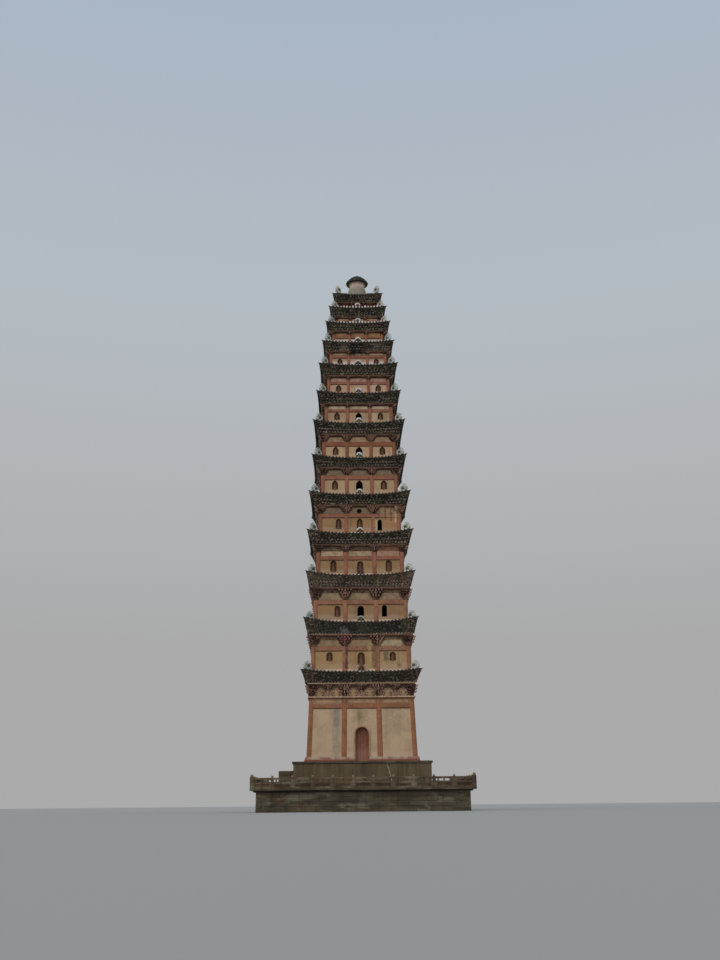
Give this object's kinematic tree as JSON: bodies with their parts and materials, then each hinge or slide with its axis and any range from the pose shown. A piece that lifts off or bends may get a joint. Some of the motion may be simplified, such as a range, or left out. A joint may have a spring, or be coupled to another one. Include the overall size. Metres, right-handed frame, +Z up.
{
  "type": "square brick pagoda",
  "caption": "Tall square brick pagoda with dense tiled eaves on a two-tier stone platform with a balustrade, with a hollow shaft, arched windows and a hinged timber door.",
  "frame": {"origin": "centre of the square footprint at ground level", "axes": "+Z up the tower, -Y out of the face with the door, +X to the right of someone facing that door"},
  "size_m": [12.9, 12.9, 37.35],
  "materials": {
    "wall_plaster": "weathered lime plaster over brick, terracotta columns and brackets",
    "roof_tile": "dark mossy clay tile and brick corbels",
    "platform_stone": "weathered squared stone",
    "moulding_plaster": "pink and dark red plaster",
    "door_timber": "worn red-brown paint",
    "finial_plaster": "stained whitewashed plaster"
  },
  "bodies": {
    "tower": {"lower_plinth": "platform_stone", "upper_plinth": "platform_stone", "side_steps": "platform_stone", "balustrade_front": "platform_stone", "balustrade_right": "platform_stone", "balustrade_back": "platform_stone", "balustrade_left": "platform_stone", "base_moulding": "moulding_plaster", "wall_01": "wall_plaster", "eave_01": "roof_tile", "wall_02": "wall_plaster", "eave_02": "roof_tile", "wall_03": "wall_plaster", "eave_03": "roof_tile", "wall_04": "wall_plaster", "eave_04": "roof_tile", "wall_05": "wall_plaster", "eave_05": "roof_tile", "wall_06": "wall_plaster", "eave_06": "roof_tile", "wall_07": "wall_plaster", "eave_07": "roof_tile", "wall_08": "wall_plaster", "eave_08": "roof_tile", "wall_09": "wall_plaster", "eave_09": "roof_tile", "wall_10": "wall_plaster", "eave_10": "roof_tile", "wall_11": "wall_plaster", "eave_11": "roof_tile", "wall_12": "wall_plaster", "eave_12": "roof_tile", "wall_13": "wall_plaster", "eave_13": "roof_tile", "finial_drum": "finial_plaster", "finial_cap": "roof_tile"},
    "door": {"door_leaf": "door_timber"}
  },
  "joints": [
    {"name": "door_hinge", "type": "hinge", "parent": "tower", "child": "door", "pos_m": [-0.48, -2.908, 2.85], "axis": [0, 0, 1], "range_deg": [0, 90]}
  ]
}
